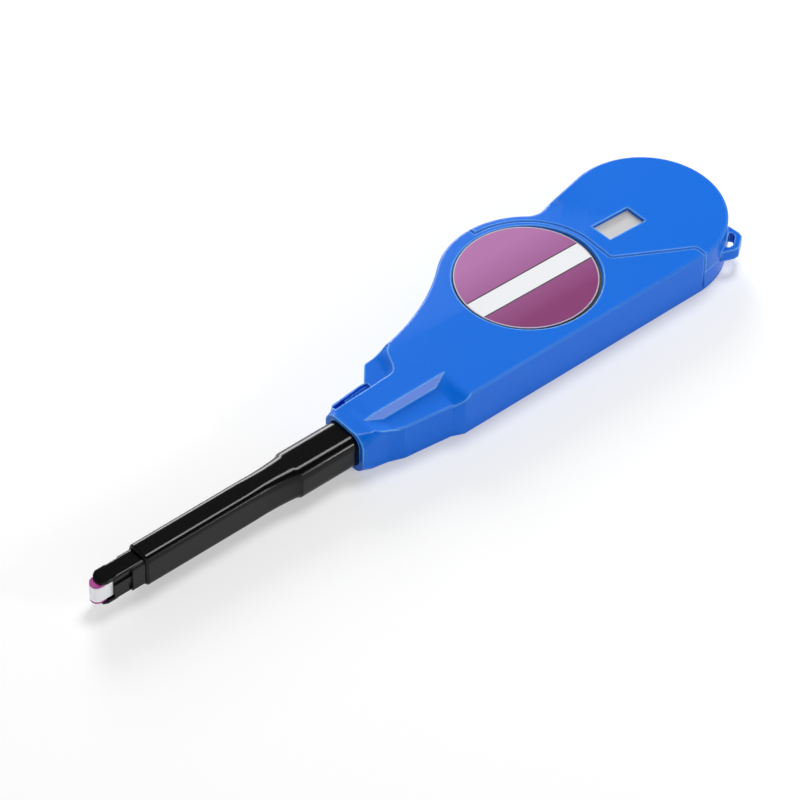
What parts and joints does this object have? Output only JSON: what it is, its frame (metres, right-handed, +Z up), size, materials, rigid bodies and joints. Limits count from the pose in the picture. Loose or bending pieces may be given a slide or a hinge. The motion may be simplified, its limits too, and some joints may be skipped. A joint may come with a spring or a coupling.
{
  "type": "fibre connector cleaning pen",
  "caption": "Flat push-type cleaning pen for multi-fibre connectors: housing with two tape reels, sliding nozzle, sprung cleaning head, label disc, tape window and lanyard loop.",
  "frame": {"origin": "on the flat back that the pen lies on, straight below the nozzle centre line, at the front end of the housing", "axes": "+X along the nozzle towards the cleaning tip, +Y towards the straight side wall, +Z up out of the label side"},
  "size_m": [0.2243, 0.0496, 0.014],
  "materials": {
    "blue_plastic": "satin moulded blue plastic",
    "black_plastic": "satin moulded black plastic",
    "magenta_plastic": "moulded magenta plastic",
    "white_plastic": "natural white moulded plastic",
    "tape_cloth": "fine woven cleaning tape",
    "window_plastic": "frosted grey-white plastic",
    "label_film": "smooth purple film with a white band",
    "black_foam": "black adhesive pad",
    "felt": "pressed felt",
    "steel": "bright steel",
    "spring_steel": "spring wire"
  },
  "bodies": {
    "housing": {"main_shell": "blue_plastic", "base_cover": "blue_plastic", "rear_shell_upper": "blue_plastic", "rear_shell_lower": "blue_plastic", "window_lens": "window_plastic", "label_pad": "black_foam", "label_disc": "label_film", "case_screw_1": "steel", "case_screw_2": "steel", "case_screw_3": "steel", "case_screw_4": "steel", "take_up_axle": "steel", "supply_axle": "steel", "brake_washer": "felt", "return_spring": "spring_steel", "spring_pin": "steel", "tape_roller_1": "white_plastic", "tape_roller_2": "white_plastic", "roller_pin_1": "steel", "roller_pin_2": "steel", "tape_feed_run": "tape_cloth", "tape_return_run": "tape_cloth"},
    "nozzle": {"nozzle_upper": "black_plastic", "nozzle_lower": "black_plastic", "nose_piece": "black_plastic", "slide_carriage": "black_plastic", "head_spring": "spring_steel"},
    "head": {"cleaning_head": "magenta_plastic", "head_rod": "magenta_plastic", "tape_tip": "tape_cloth"},
    "drive": {"drive_gear": "white_plastic", "clutch_spring": "white_plastic"},
    "take_up": {"take_up_reel": "white_plastic", "used_tape_roll": "tape_cloth"},
    "supply": {"supply_reel": "white_plastic", "supply_tape_roll": "tape_cloth"}
  },
  "joints": [
    {"name": "nozzle_slide", "type": "slide", "parent": "housing", "child": "nozzle", "axis": [-1, 0, 0], "range_m": [0, 0.006], "stiffness_N_per_m": 400, "springref_m": -0.01, "deforming": ["return_spring", "tape_feed_run", "tape_return_run"]},
    {"name": "head_slide", "type": "slide", "parent": "nozzle", "child": "head", "axis": [-1, 0, 0], "range_m": [0, 0.0015], "stiffness_N_per_m": 1500, "springref_m": -0.002, "deforming": ["head_spring"]},
    {"name": "gear_spin", "type": "hinge", "parent": "housing", "child": "drive", "pos_m": [-0.0483, -0.0117, 0.0025], "axis": [0, 0, 1], "range_deg": [0, 18]},
    {"name": "take_up_spin", "type": "hinge", "parent": "housing", "child": "take_up", "pos_m": [-0.0483, -0.0117, 0.007], "axis": [0, 0, 1], "range_deg": [0, 18]},
    {"name": "supply_spin", "type": "hinge", "parent": "housing", "child": "supply", "pos_m": [-0.0915, -0.01, 0.007], "axis": [0, 0, 1], "range_deg": [-10.6, 0]}
  ],
  "couplings": [
    {"joint": "gear_spin", "follows": "nozzle_slide", "rad_per_m": 52.083},
    {"joint": "take_up_spin", "follows": "nozzle_slide", "rad_per_m": 52.083},
    {"joint": "supply_spin", "follows": "nozzle_slide", "rad_per_m": -30.637}
  ]
}
